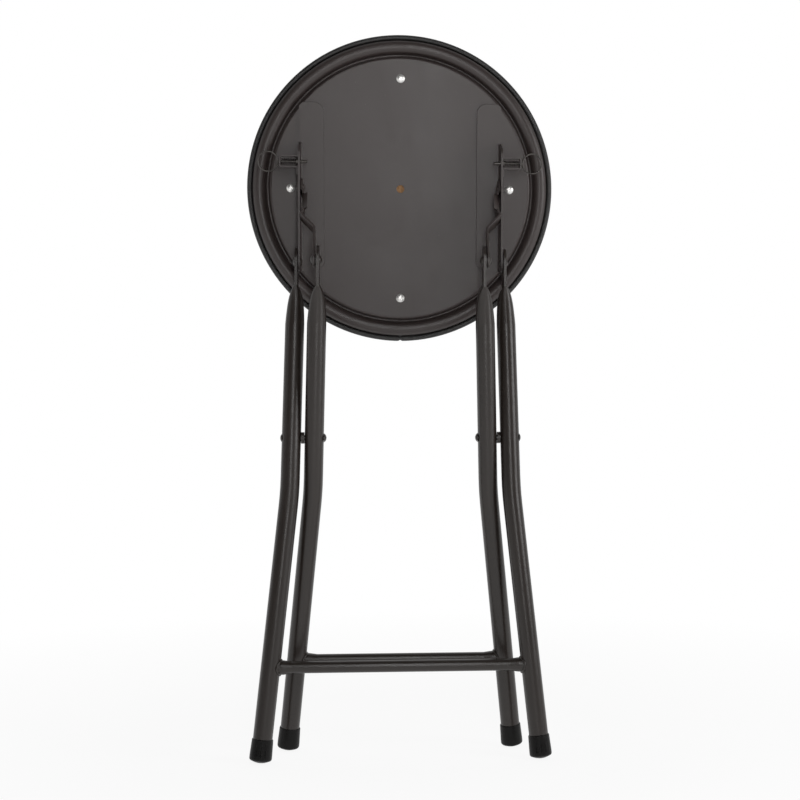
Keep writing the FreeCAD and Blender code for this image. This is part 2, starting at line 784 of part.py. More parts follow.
def cover():
    """Vinyl cover: crown, drawn-in sides and a hem turned under the board's edge."""
    body = new_body("seat_cover")
    skin = 1.2
    low, hem = 9.3, 153.0
    outside, inside = cushion_skin(0.0), cushion_skin(skin)
    wide = dim("cushion_radius")
    inner = [(inside[1][0], inside[1][1]), (inside[0][0], inside[0][1])]
    crown = inside[2]
    profile = outline(new_sketch(body, "XY_Plane", "profile"), [
        (hem, low), (wide - 7.2, low), (wide - 7.2, 12.2), (wide - 3.0, 14.6),
        *outside,
        (0, crown[1]),
        (*inner[0], crown[2], -1),
        (*inner[1], 12.5, -1),
        (wide - 3.0 - skin, 15.4, 40.0, -1),
        (wide - 7.2 - skin, 12.8), (wide - 7.2 - skin, low + skin), (hem, low + skin),
    ])
    revolve(body, profile)
    body.Placement = seat_place
    return body


def foam():
    body = new_body("seat_foam")
    wide, skin = dim("cushion_radius"), 1.35
    top = cushion_skin(skin)
    base = dim("pan_thick") + dim("board_thick")
    profile = outline(new_sketch(body, "XY_Plane", "profile"), [
        (0, base), (wide - 7.2 - skin, base), (wide - 7.2 - skin, 13.0), (wide - 3.0 - skin, 15.6),
        *top,
    ])
    revolve(body, profile)
    body.Placement = seat_place
    return body


def piping():
    """Round welt at the lower edge of the cover, just outside the pan's rim."""
    welt = doc.addObject("Part::Torus", "seat_piping")
    welt.Label = "seat_piping"
    drive(welt, "Radius1", dim("cushion_radius") - dim("welt_radius") - 0.45)
    drive(welt, "Radius2", dim("welt_radius"))
    welt.Placement = seat_place.multiply(
        Placement(Vector(0, 10.2, 0), Rotation(Vector(1, 0, 0), 90)))
    return welt


def bracket():
    """A bent sheet: a foot flat on the pan and an upright flange along its outboard side."""
    body = new_body("bracket_right")
    top, low, inner = dim("bracket_up"), -dim("bracket_down"), dim("bracket_inner")
    tight = dim("bend_inside")
    wide = tight + strap
    section = outline(new_sketch(body, "XY_Plane", "section", low), [
        (inner, 0), (inner, -strap), (flange_in - tight, -strap),
        (flange_in, -strap - tight, tight, -1), (flange_in, -50.0), (flange_out, -50.0),
        (flange_out, -wide), (flange_out - wide, 0, wide, 1),
    ])
    pad(body, section, top - low)
    corner, cut = 12.0, 8.0
    plan = new_sketch(body, "XZ_Plane", "foot_plan")
    outline(plan, [(40, -140), (160, -140), (160, 140), (40, 140)])
    outline(plan, [
        (flange_out + 1.0, low), (flange_out + 1.0, top - 5.0), (flange_out - 5.0, top),
        (inner + corner, top), (inner, top - corner, corner, 1), (inner, low + cut),
        (inner + cut, low),
    ])
    pocket(body, plan, 200.0, midplane=True)
    pivot, high = -dim("bracket_pivot_down"), -dim("bracket_pivot_high")
    nose = pivot - low
    side = new_sketch(body, "YZ_Plane", "flange_plan", flange_out + 1.0)
    outline(side, [(-70, -140), (20, -140), (20, 140), (-70, 140)])
    outline(side, [
        (1.0, 120.0), (-strap, 120.0), (-strap, 54.0), (-24.0, 49.0), (-34.4, 38.0, 11.5, 1),
        (high - nose, pivot), (high, low, nose, 1), (1.0, low),
    ])
    pocket(body, side, strap + tight + 1.0)
    holes = new_sketch(body, "YZ_Plane", "pivot_holes", flange_out + 1.0)
    circle(holes, -dim("link_pivot_high"), 0, shank + clear)
    circle(holes, high, pivot, shank + clear)
    circle(holes, lock_spot.y, lock_spot.z, dim("pin_radius") + 0.15)
    pocket(body, holes, strap + 2.0)
    soften(body, lambda edge: (
        in_plane(edge, "X", flange_out) and edge.BoundBox.YMin < -wide.number - 0.1
        or in_plane(edge, "Y", -strap) and edge.BoundBox.XMin < inner.number + 1.0
        and edge.BoundBox.XMax < inner.number + corner + 1.0))
    body.Placement = seat_place
    return body


rise = (value("bracket_pivot_high") - value("link_pivot_high")) / LINK_LENGTH
lock_spot = Vector(
    0, -value("link_pivot_high") - value("lock_reach") * rise,
    value("lock_reach") * math.sqrt(1 - rise * rise))
lock_place = seat_place.multiply(Placement(lock_spot, Rotation()))
house_end = flange_out + dim("housing_length")


def housing():
    """U-shaped strap on the bracket that carries the lock pin and its spring."""
    body = new_body("pin_housing_right")
    thick, half = dim("housing_strap"), dim("housing_height") / 2
    inner, foot = half - thick, half + 7.5
    face, end = flange_out, house_end
    bend, tight = 3.2, 1.6
    side = outline(new_sketch(body, "XZ_Plane", "side"), [
        (face, -foot), (face + thick, -foot), (face + thick, -half - 1.2),
        (face + thick + 1.2, -half, 1.2, -1), (end - bend, -half),
        (end, -half + bend, bend, 1), (end, half - bend), (end - bend, half, bend, 1),
        (face + thick + 1.2, half), (face + thick, half + 1.2, 1.2, -1),
        (face + thick, foot), (face, foot), (face, inner), (end - thick - tight, inner),
        (end - thick, inner - tight, tight, -1), (end - thick, -inner + tight),
        (end - thick - tight, -inner, tight, -1), (face, -inner),
    ])
    pad(body, side, dim("housing_deep"), midplane=True)
    hole = circle(new_sketch(body, "YZ_Plane", "rod_hole", end + 1.0), 0, 0,
                  dim("pin_rod_radius") + 0.15)
    pocket(body, hole, thick + 2.0)
    body.Placement = lock_place
    return body


def lock_pin():
    """Pin, thin rod and pull ring in one piece, along X."""
    body = new_body("lock_pin_right")
    pin_r, rod, wire = dim("pin_radius"), dim("pin_rod_radius"), dim("ring_wire_radius")
    tip = flange_in - dim("pin_tip_reach")
    shoulder = flange_out + 2.0
    ring_start = house_end + 0.6
    profile = outline(new_sketch(body, "XZ_Plane", "profile"), [
        (ring_start + wire, 0), (ring_start + wire, rod), (shoulder, rod), (shoulder, pin_r),
        (tip + 0.9, pin_r), (tip, pin_r - 0.9), (tip, 0),
    ])
    revolve(body, profile, "H_Axis")
    loop = new_sketch(body, "XY_Plane", "loop")
    middle = ring_start + dim("ring_outer_radius")
    axis = loop.addGeometry(
        Part.LineSegment(Vector(middle.number, -5, 0), Vector(middle.number, 5, 0)), True)
    pin_point(loop, axis, 1, middle, -5)
    pin_point(loop, axis, 2, middle, 5)
    circle(loop, ring_start + wire, 0, wire)
    revolve(body, loop, "Axis0")
    body.Placement = lock_place
    return body


def turn_arcs(start, start_dir, end, end_dir):
    """Two arcs that leave start along start_dir and meet end along end_dir."""
    chord = end.sub(start)
    both = start_dir.add(end_dir)
    a = 2 * (1 - start_dir * end_dir)
    b = 2 * (chord * both)
    c = -(chord * chord)
    reach = (-b + math.sqrt(b * b - 4 * a * c)) / (2 * a) if a > 1e-9 else -c / b
    first = start.add(start_dir * reach)
    last = end.sub(end_dir * reach)
    joint = first.add(last) * 0.5
    arcs = []
    for begin, direction, finish in ((start, start_dir, joint), (end, -end_dir, joint)):
        span = finish.sub(begin)
        side = span.sub(direction * (span * direction)).normalize()
        radius = (span * span) / (2 * (span * side))
        centre = begin.add(side * radius)
        middle = centre.add((begin.add(finish) * 0.5).sub(centre).normalize() * radius)
        arcs.append((begin, middle, finish))
    return [Part.Arc(*arcs[0]).toShape(), Part.Arc(*reversed(arcs[1])).toShape()]


def spring():
    """Open coil spring between the collar and the end wall of the housing."""
    radius, wire = value("spring_radius"), value("spring_wire_radius")
    start = flange_out.number + 2.1 + wire
    stop = house_end.number - value("housing_strap") - 0.15 - wire
    turns, steps = 8, 4
    count = turns * steps
    pitch = (stop - start) / turns
    climb = pitch / (2 * math.pi * radius)
    points, directions = [], []
    for index in range(count + 1):
        angle = 2 * math.pi * index / steps
        points.append(Vector(start + pitch * index / steps, radius * math.cos(angle),
                             radius * math.sin(angle)))
        directions.append(Vector(climb, -math.sin(angle), math.cos(angle)).normalize())
    edges = []
    for index in range(count):
        edges += turn_arcs(points[index], directions[index], points[index + 1],
                           directions[index + 1])
    path = Part.Wire(edges)
    section = Part.Wire([Part.Circle(points[0], directions[0], wire).toShape()])
    coil = doc.addObject("Part::Feature", "pin_spring_right")
    coil.Label = "pin_spring_right"
    coil.Shape = path.makePipeShell([section], True, False)
    coil.Placement = lock_place
    print("spring: least gap between turns", round(pitch - 2 * wire, 2))
    return coil


for make in (pan, board, foam, cover, piping, screws):
    keep(make())
keep_pair(bracket(), "bracket")
keep_pair(housing(), "pin_housing")
keep_pair(lock_pin(), "lock_pin")
keep_pair(ring("pin_collar_right", flange_out + 0.25, flange_out + 1.95, dim("pin_radius") + 0.02,
               Size.of(3.9), lock_place), "pin_collar")
keep_pair(spring(), "pin_spring")

# Checks and files

doc.recompute()
failed = [item.Name for item in doc.Objects if "Invalid" in item.State or "Error" in item.State]
for item in nodes:
    if item.Shape.isNull() or not item.Shape.isValid():
        failed.append(item.Label)
if failed:
    raise RuntimeError(f"broken objects: {failed}")

box = FreeCAD.BoundBox()
os.makedirs("parts", exist_ok=True)
for item in nodes:
    box.add(item.Shape.optimalBoundingBox(False, False))
    item.Shape.exportStep(f"parts/{item.Label}.step")
print(len(nodes), "pieces; box", box)
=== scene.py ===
import json
import math

import bmesh
import bpy
from mathutils import Matrix, Vector


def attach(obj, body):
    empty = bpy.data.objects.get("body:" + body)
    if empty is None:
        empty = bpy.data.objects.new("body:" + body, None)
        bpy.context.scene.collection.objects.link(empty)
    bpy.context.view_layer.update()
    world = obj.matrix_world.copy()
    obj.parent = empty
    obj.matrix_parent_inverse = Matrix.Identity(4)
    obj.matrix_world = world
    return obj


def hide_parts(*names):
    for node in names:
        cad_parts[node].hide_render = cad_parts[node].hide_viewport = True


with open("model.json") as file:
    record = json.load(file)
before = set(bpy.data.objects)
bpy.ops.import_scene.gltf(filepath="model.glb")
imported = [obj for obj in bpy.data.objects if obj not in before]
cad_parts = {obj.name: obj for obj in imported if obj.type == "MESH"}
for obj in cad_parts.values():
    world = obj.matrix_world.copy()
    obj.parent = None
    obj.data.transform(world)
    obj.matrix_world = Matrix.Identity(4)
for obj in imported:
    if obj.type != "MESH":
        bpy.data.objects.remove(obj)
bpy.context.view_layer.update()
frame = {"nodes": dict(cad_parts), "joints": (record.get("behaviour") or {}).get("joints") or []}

# Folding stool, folded and standing. Metres, +Z up, the seat's underside faces -Y.
MM = 0.001

# The seat's own place: its underside plane leans back and Y runs into the padding
SEAT_LEAN = math.radians(5.0)
PIVOT_HIGH = 32.0 * MM
PIVOT_DOWN = 87.0 * MM
joints = {joint["name"]: joint for joint in frame["joints"]}
seat_turn = Matrix.Rotation(SEAT_LEAN, 4, "X")
seat_pivot = Vector(joints["seat_turn"]["pos_m"])
seat_place = (Matrix.Translation(seat_pivot) @ seat_turn
              @ Matrix.Translation(Vector((0.0, PIVOT_HIGH, PIVOT_DOWN))))
scissor = Vector(joints["fold"]["pos_m"])

# The two leg frames lean opposite ways from the scissor pivot
LEG_LEAN = math.radians(5.0)
LEG_RADIUS = 11.1 * MM
BAR_DOWN = 262.5 * MM
BAR_END_RADIUS = 8.3 * MM

# At a crossbar, a leg's axis is this far from the middle and spreads this much per unit down
OUTER_LEG_HALF = 149.32 * MM
OUTER_LEG_SPREAD = 0.10461
INNER_LEG_HALF = 121.95 * MM
INNER_LEG_SPREAD = 0.09952

# Cushion skin, with the part that is fixed to the pan held while it swells
CUSHION_SEGMENTS = 180
SKIN_STEP = 4.5 * MM
HELD_BELOW = 13.0 * MM
MOST_SWELL = 1.8 * MM
SWELL_FRAMES = 20

# Piping cord, its ring and its height over the pan's underside
WELT_RING_RADIUS = 178.75 * MM
WELT_CORD_RADIUS = 3.2 * MM
WELT_UP = 10.2 * MM
SPLICE_AT = 0.75


# Shader helpers

def set_value(node, name, value):
    node.inputs[name].default_value = value


class Nodes:
    """A short way to add and join shader or geometry nodes."""

    def __init__(self, tree):
        self.tree = tree

    def add(self, kind, **settings):
        node = self.tree.nodes.new(kind)
        for name, value in settings.items():
            setattr(node, name, value)
        return node

    def join(self, output, target):
        self.tree.links.new(output, target)


def new_group(name, kind, inputs, outputs):
    """A node group with named float, colour or vector inputs and their defaults."""
    group = bpy.data.node_groups.new(name, kind)
    for label, socket, value in inputs:
        item = group.interface.new_socket(label, in_out="INPUT", socket_type=socket)
        if value is not None:
            item.default_value = value
    for label, socket in outputs:
        group.interface.new_socket(label, in_out="OUTPUT", socket_type=socket)
    nodes = Nodes(group)
    return group, nodes, nodes.add("NodeGroupInput"), nodes.add("NodeGroupOutput")


def noise(nodes, vector, scale, detail=3.0, roughness=0.5):
    node = nodes.add("ShaderNodeTexNoise")
    set_value(node, "Detail", detail)
    set_value(node, "Roughness", roughness)
    nodes.join(vector, node.inputs["Vector"])
    if isinstance(scale, (int, float)):
        set_value(node, "Scale", scale)
    else:
        nodes.join(scale, node.inputs["Scale"])
    return node.outputs["Fac"]


def span(nodes, value, low, high, to_low, to_high):
    """Map a value from one span to another, clamped."""
    node = nodes.add("ShaderNodeMapRange")
    for name, number in (("From Min", low), ("From Max", high), ("To Min", to_low),
                         ("To Max", to_high)):
        if isinstance(number, (int, float)):
            set_value(node, name, number)
        else:
            nodes.join(number, node.inputs[name])
    nodes.join(value, node.inputs["Value"])
    return node.outputs["Result"]


def combine(nodes, operation, first, second):
    node = nodes.add("ShaderNodeMath", operation=operation)
    for socket, value in zip(node.inputs, (first, second)):
        if isinstance(value, (int, float)):
            socket.default_value = value
        else:
            nodes.join(value, socket)
    return node.outputs[0]


def blend_colours(nodes, mask, first, second):
    node = nodes.add("ShaderNodeMix", data_type="RGBA")
    nodes.join(mask, node.inputs["Factor"])
    colour_sockets = [s for s in node.inputs if s.type == "RGBA"]
    for socket, value in zip(colour_sockets, (first, second)):
        if isinstance(value, tuple):
            socket.default_value = value
        else:
            nodes.join(value, socket)
    return next(s for s in node.outputs if s.type == "RGBA")


# Shared surface effects

def coat_texture_group():
    """Sprayed or plated coat: a fine orange-peel height and a slow cloudy mask."""
    group, nodes, given, result = new_group(
        "Sprayed coat", "ShaderNodeTree",
        [("Peel scale", "NodeSocketFloat", 900.0), ("Cloud scale", "NodeSocketFloat", 14.0)],
        [("Height", "NodeSocketFloat"), ("Cloud", "NodeSocketFloat")])
    place = nodes.add("ShaderNodeTexCoord").outputs["Object"]
    peel = noise(nodes, place, given.outputs["Peel scale"], 2.0)
    cloud = noise(nodes, place, given.outputs["Cloud scale"], 4.0, 0.6)
    nodes.join(peel, result.inputs["Height"])
    nodes.join(cloud, result.inputs["Cloud"])
    return group


def dust_group():
    """Sparse light specks and a soft scuff mask."""
    group, nodes, given, result = new_group(
        "Dust and scuffs", "ShaderNodeTree",
        [("Speck scale", "NodeSocketFloat", 700.0), ("Speck amount", "NodeSocketFloat", 0.03)],
        [("Specks", "NodeSocketFloat"), ("Scuffs", "NodeSocketFloat")])
    place = nodes.add("ShaderNodeTexCoord").outputs["Object"]
    speck = noise(nodes, place, given.outputs["Speck scale"], 1.0)
    edge = combine(nodes, "SUBTRACT", 0.80, given.outputs["Speck amount"])
    nodes.join(span(nodes, speck, edge, 0.85, 0.0, 1.0), result.inputs["Specks"])
    stretch = nodes.add("ShaderNodeMapping")
    set_value(stretch, "Scale", (1.0, 1.0, 0.25))
    nodes.join(place, stretch.inputs["Vector"])
    scuff = noise(nodes, stretch.outputs["Vector"], 60.0, 6.0, 0.7)
    nodes.join(span(nodes, scuff, 0.56, 0.72, 0.0, 1.0), result.inputs["Scuffs"])
    return group


def grain_group():
    """Embossed grain: rounded cells parted by fine creases, and a mask for painted shade that
    darkens the creases.
    """
    group, nodes, given, result = new_group(
        "Embossed grain", "ShaderNodeTree", [("Cell scale", "NodeSocketFloat", 650.0)],
        [("Height", "NodeSocketFloat"), ("Painted crease shade", "NodeSocketFloat")])
    place = nodes.add("ShaderNodeTexCoord").outputs["Object"]
    wander = nodes.add("ShaderNodeTexNoise")
    set_value(wander, "Scale", 260.0)
    nodes.join(place, wander.inputs["Vector"])
    bent = nodes.add("ShaderNodeVectorMath", operation="MULTIPLY_ADD")
    bent.inputs[1].default_value = (0.0012, 0.0012, 0.0012)
    nodes.join(wander.outputs["Color"], bent.inputs[0])
    nodes.join(place, bent.inputs[2])
    cells = nodes.add("ShaderNodeTexVoronoi", feature="DISTANCE_TO_EDGE")
    nodes.join(bent.outputs["Vector"], cells.inputs["Vector"])
    nodes.join(given.outputs["Cell scale"], cells.inputs["Scale"])
    cell_height = span(nodes, cells.outputs["Distance"], 0.0, 0.22, 0.0, 1.0)
    nodes.join(cell_height, result.inputs["Height"])
    # Painted shade mask: near 1 in the grain's creases, where shade falls
    nodes.join(span(nodes, cells.outputs["Distance"], 0.0, 0.06, 1.0, 0.0),
               result.inputs["Painted crease shade"])
    return group


sprayed_coat = coat_texture_group()
dust_and_scuffs = dust_group()
embossed_grain = grain_group()


def place_group(nodes, group, **values):
    node = nodes.add("ShaderNodeGroup", node_tree=group)
    for name, value in values.items():
        set_value(node, name.replace("_", " "), value)
    return node


def new_material(name):
    """An empty material with its Principled BSDF."""
    material = bpy.data.materials.new(name)
    material.use_nodes = True
    nodes = Nodes(material.node_tree)
    shader = next(n for n in material.node_tree.nodes if n.type == "BSDF_PRINCIPLED")
    return material, nodes, shader


def add_bump(nodes, shader, height, distance, strength=1.0):
    bump = nodes.add("ShaderNodeBump")
    set_value(bump, "Distance", distance)
    set_value(bump, "Strength", strength)
    nodes.join(height, bump.inputs["Height"])
    nodes.join(bump.outputs["Normal"], shader.inputs["Normal"])


def paint(name, colour, light, rough):
    """Dark baked paint over steel, clouded between two tones, with dust and faint scuffs."""
    material, nodes, shader = new_material(name)
    coat_effect = place_group(nodes, sprayed_coat, Peel_scale=850.0, Cloud_scale=9.0)
    dust = place_group(nodes, dust_and_scuffs, Speck_scale=900.0, Speck_amount=0.02)
    cloud = coat_effect.outputs["Cloud"]
    toned = blend_colours(nodes, span(nodes, cloud, 0.35, 0.65, 0.0, 1.0), colour, light)
    dusty = combine(nodes, "MULTIPLY", dust.outputs["Specks"], 0.35)
    nodes.join(blend_colours(nodes, dusty, toned, (0.35, 0.33, 0.31, 1.0)),
               shader.inputs["Base Color"])
    base = span(nodes, cloud, 0.3, 0.7, rough - 0.03, rough + 0.04)
    scuffed = combine(nodes, "MULTIPLY", dust.outputs["Scuffs"], 0.05)
    nodes.join(combine(nodes, "ADD", base, scuffed), shader.inputs["Roughness"])
    add_bump(nodes, shader, coat_effect.outputs["Height"], 0.00004)
    return material


def zinc():
    """Bright zinc plating with faint clouding."""
    material, nodes, shader = new_material("Bright zinc")
    coat_effect = place_group(nodes, sprayed_coat, Peel_scale=1600.0, Cloud_scale=260.0)
    cloud = coat_effect.outputs["Cloud"]
    toned = blend_colours(nodes, cloud, (0.74, 0.73, 0.70, 1.0), (0.93, 0.92, 0.90, 1.0))
    nodes.join(toned, shader.inputs["Base Color"])
    nodes.join(span(nodes, cloud, 0.3, 0.7, 0.3, 0.42), shader.inputs["Roughness"])
    set_value(shader, "Metallic", 0.75)
    add_bump(nodes, shader, coat_effect.outputs["Height"], 0.00002)
    return material


def dark_steel():
    """Oiled dark steel of the pins, rings and springs."""
    material, nodes, shader = new_material("Dark steel")
    coat_effect = place_group(nodes, sprayed_coat, Peel_scale=1800.0, Cloud_scale=180.0)
    cloud = coat_effect.outputs["Cloud"]
    toned = blend_colours(nodes, cloud, (0.045, 0.040, 0.036, 1.0), (0.085, 0.078, 0.072, 1.0))
    nodes.join(toned, shader.inputs["Base Color"])
    nodes.join(span(nodes, cloud, 0.3, 0.7, 0.26, 0.38), shader.inputs["Roughness"])
    set_value(shader, "Metallic", 0.6)
    add_bump(nodes, shader, coat_effect.outputs["Height"], 0.00002)
    return material


def moulded_rubber():
    """Black moulded foot caps with a little floor dust."""
    material, nodes, shader = new_material("Moulded rubber")
    coat_effect = place_group(nodes, sprayed_coat, Peel_scale=1400.0, Cloud_scale=40.0)
    dust = place_group(nodes, dust_and_scuffs, Speck_scale=1100.0, Speck_amount=0.05)
    toned = blend_colours(nodes, coat_effect.outputs["Cloud"], (0.0040, 0.0037, 0.0034, 1.0),
                          (0.0075, 0.0069, 0.0064, 1.0))
    dusty = combine(nodes, "MULTIPLY", dust.outputs["Specks"], 0.25)
    nodes.join(blend_colours(nodes, dusty, toned, (0.10, 0.095, 0.09, 1.0)),
               shader.inputs["Base Color"])
    nodes.join(span(nodes, dust.outputs["Scuffs"], 0.0, 1.0, 0.42, 0.34),
               shader.inputs["Roughness"])
    set_value(shader, "Specular IOR Level", 0.18)
    add_bump(nodes, shader, coat_effect.outputs["Height"], 0.0001)
    return material


def vinyl():
    """Black embossed vinyl of the cushion and its welt, with painted shade darkening the grain's
    creases.
    """
    material, nodes, shader = new_material("Grained vinyl")
    grain = place_group(nodes, embossed_grain, Cell_scale=520.0)
    coat_effect = place_group(nodes, sprayed_coat, Peel_scale=300.0, Cloud_scale=12.0)
    cloud = coat_effect.outputs["Cloud"]
    toned = blend_colours(nodes, cloud, (0.014, 0.0135, 0.013, 1.0), (0.026, 0.025, 0.024, 1.0))
    # Painted shade: the grain's creases are darkened in the base colour
    nodes.join(blend_colours(nodes, grain.outputs["Painted crease shade"], toned, (0.008, 0.008, 0.008, 1.0)),
               shader.inputs["Base Color"])
    nodes.join(span(nodes, cloud, 0.3, 0.7, 0.38, 0.5), shader.inputs["Roughness"])
    add_bump(nodes, shader, grain.outputs["Height"], 0.00012)
    return material


def board_wood():
    """Raw brown board seen through the middle hole."""
    material, nodes, shader = new_material("Raw board")
    place = nodes.add("ShaderNodeTexCoord").outputs["Object"]
    stretch = nodes.add("ShaderNodeMapping")
    set_value(stretch, "Scale", (1.0, 8.0, 0.12))
    nodes.join(place, stretch.inputs["Vector"])
    fibres = noise(nodes, stretch.outputs["Vector"], 420.0, 5.0, 0.65)
    nodes.join(blend_colours(nodes, span(nodes, fibres, 0.3, 0.7, 0.0, 1.0),
                             (0.16, 0.075, 0.025, 1.0), (0.42, 0.23, 0.10, 1.0)),
               shader.inputs["Base Color"])
    nodes.join(span(nodes, fibres, 0.0, 1.0, 0.85, 0.65), shader.inputs["Roughness"])
    add_bump(nodes, shader, fibres, 0.0002)
    return material


leg_paint = paint(
    "Leg paint", (0.0210, 0.0155, 0.0125, 1.0), (0.0255, 0.0192, 0.0160, 1.0), 0.31)
plate_paint = paint(
    "Plate paint", (0.0375, 0.0280, 0.0258, 1.0), (0.0425, 0.0325, 0.0303, 1.0), 0.39)
bright_zinc = zinc()
spring_steel = dark_steel()
cap_rubber = moulded_rubber()
grained_vinyl = vinyl()
raw_board = board_wood()

FINISHES = {
    leg_paint: ["outer_leg", "inner_leg", "outer_crossbar", "inner_crossbar", "scissor_rivet",
                "scissor_spacer", "bracket_rivet", "link_rivet", "link_washer", "link_stud"],
    plate_paint: ["seat_pan", "bracket_left", "bracket_right", "pin_housing", "link_left",
                  "link_right", "seat_rivet"],
    bright_zinc: ["seat_screws"],
    spring_steel: ["lock_pin", "pin_collar", "pin_spring"],
    cap_rubber: ["outer_foot", "inner_foot"],
    grained_vinyl: ["seat_cover", "seat_piping", "seat_foam"],
    raw_board: ["seat_board"],
}

for finish, starts in FINISHES.items():
    for node_name, item in frame["nodes"].items():
        if any(node_name.startswith(start) for start in starts):
            for material_slot in item.material_slots:
                material_slot.material = finish


# Cushion: a crowned round pad of vinyl over foam, drawn in under its lower edge

def link_object(name, data):
    item = bpy.data.objects.new(name, data)
    bpy.context.scene.collection.objects.link(item)
    return item


def mesh_piece(name, verts, faces, material):
    mesh = bpy.data.meshes.new(name)
    mesh.from_pydata(verts, [], faces)
    mesh.materials.append(material)
    mesh.validate()
    for polygon in mesh.polygons:
        polygon.use_smooth = True
    return link_object(name, mesh)


def smooth_profile(corners, step):
    """Points along straight runs, about step apart, through the given corners."""
    points = []
    for (r0, y0), (r1, y1) in zip(corners, corners[1:]):
        count = max(1, round(math.hypot(r1 - r0, y1 - y0) / step))
        for index in range(count):
            t = index / count
            points.append((r0 + (r1 - r0) * t, y0 + (y1 - y0) * t))
    points.append(corners[-1])
    return points


def lathe(points, segments):
    """Turn a profile whose ends are on the axis into a closed skin."""
    verts = [(0.0, points[0][1], 0.0)]
    faces = []
    rings = points[1:-1]
    for radius, y in rings:
        for index in range(segments):
            angle = 2.0 * math.pi * index / segments
            verts.append((radius * math.cos(angle), y, radius * math.sin(angle)))
    last = len(verts)
    verts.append((0.0, points[-1][1], 0.0))
    for index in range(segments):
        after = (index + 1) % segments
        faces.append((0, 1 + index, 1 + after))
        for ring in range(len(rings) - 1):
            low = 1 + ring * segments
            high = low + segments
            faces.append((low + index, high + index, high + after, low + after))
        top = 1 + (len(rings) - 1) * segments
        faces.append((top + index, last, top + after))
    return verts, faces


def face_outwards(item):
    mesh = bmesh.new()
    mesh.from_mesh(item.data)
    bmesh.ops.recalc_face_normals(mesh, faces=mesh.faces)
    mesh.to_mesh(item.data)
    mesh.free()


# Radius and depth in millimetres, from the middle of the underside round to the crown
CUSHION_PROFILE = [
    (0.0, 11.2), (151.4, 11.2), (153.0, 9.4), (174.9, 9.4), (175.2, 12.0), (179.0, 14.6),
    (180.6, 20.0), (181.4, 28.0), (180.8, 36.0), (178.4, 44.0), (173.6, 49.0), (166.0, 51.6),
    (140.0, 54.6), (100.0, 57.0), (50.0, 58.3), (0.0, 58.6),
]


def finished_mesh(item):
    """A plain mesh of an object with its modifiers worked out."""
    graph = bpy.context.evaluated_depsgraph_get()
    return bpy.data.meshes.new_from_object(item.evaluated_get(graph))


def add_cloth(cushion):
    """Tight vinyl under a light pressure, held where the pan covers it."""
    held_group = cushion.vertex_groups.new(name="held")
    held = [v.index for v in cushion.data.vertices if v.co.y < HELD_BELOW]
    held_group.add(held, 1.0, "REPLACE")
    cloth = cushion.modifiers.new("Cloth", "CLOTH")
    settings = cloth.settings
    settings.quality = 6
    settings.mass = 0.3
    settings.tension_stiffness = 12.0
    settings.compression_stiffness = 12.0
    settings.shear_stiffness = 4.0
    settings.bending_stiffness = 4.0
    settings.use_pressure = True
    settings.uniform_pressure_force = 4.0
    settings.shrink_min = -0.002
    settings.vertex_group_mass = held_group.name
    settings.effector_weights.gravity = 0.0
    return cloth


def swell(cushion):
    """Let the skin swell under pressure, and keep each point near where it started."""
    start = [vertex.co.copy() for vertex in cushion.data.vertices]
    cloth = add_cloth(cushion)
    for number in range(1, SWELL_FRAMES + 1):
        bpy.context.scene.frame_set(number)
    shaped = finished_mesh(cushion)
    for vertex, before, after in zip(cushion.data.vertices, start, shaped.vertices):
        move = after.co - before
        if move.length > MOST_SWELL:
            move *= MOST_SWELL / move.length
        vertex.co = before + move
    cushion.modifiers.remove(cloth)
    bpy.data.meshes.remove(shaped)
    bpy.context.scene.frame_set(1)


def smooth_once(item):
    smooth = item.modifiers.new("Smooth", "SUBSURF")
    smooth.levels = 1
    smooth.render_levels = 1
    mesh = finished_mesh(item)
    item.modifiers.remove(smooth)
    item.data = mesh


def make_cushion():
    points = smooth_profile([(r * MM, y * MM) for r, y in CUSHION_PROFILE], SKIN_STEP)
    verts, faces = lathe(points, CUSHION_SEGMENTS)
    cushion = mesh_piece("cushion", verts, faces, grained_vinyl)
    face_outwards(cushion)
    swell(cushion)
    smooth_once(cushion)
    cushion.data.transform(seat_place)
    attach(cushion, "seat")
    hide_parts("seat_cover", "seat_foam")


make_cushion()


# Geometry Nodes helpers

def converted(item, tree, values):
    """Run a node tree on an object with the given named inputs and keep its plain mesh."""
    modifier = item.modifiers.new("Make", "NODES")
    modifier.node_group = tree
    sockets = {s.name: s.identifier for s in tree.interface.items_tree if s.in_out == "INPUT"}
    for name, value in values.items():
        modifier[sockets[name]] = value
    mesh = finished_mesh(item)
    name = item.name
    bpy.data.objects.remove(item)
    return link_object(name, mesh)


def empty_mesh(name):
    return link_object(name, bpy.data.meshes.new(name))


def sweep(nodes, curve, size, section_radius, material, result):
    """Carry a round section along a curve, its size varying by the given factor."""
    sized = nodes.add("GeometryNodeSetCurveRadius")
    nodes.join(curve, sized.inputs["Curve"])
    nodes.join(size, sized.inputs["Radius"])
    section = nodes.add("GeometryNodeCurvePrimitiveCircle")
    set_value(section, "Resolution", 16)
    nodes.join(section_radius, section.inputs["Radius"])
    solid = nodes.add("GeometryNodeCurveToMesh")
    nodes.join(sized.outputs["Curve"], solid.inputs["Curve"])
    nodes.join(section.outputs["Curve"], solid.inputs["Profile Curve"])
    if "Scale" in solid.inputs:
        nodes.join(size, solid.inputs["Scale"])
    smooth = nodes.add("GeometryNodeSetShadeSmooth")
    nodes.join(solid.outputs["Mesh"], smooth.inputs["Geometry"])
    whole = nodes.add("GeometryNodeRealizeInstances")
    nodes.join(smooth.outputs["Geometry"], whole.inputs["Geometry"])
    finish = nodes.add("GeometryNodeSetMaterial")
    nodes.join(whole.outputs["Geometry"], finish.inputs["Geometry"])
    nodes.join(material, finish.inputs["Material"])
    nodes.join(finish.outputs["Geometry"], result.inputs["Geometry"])


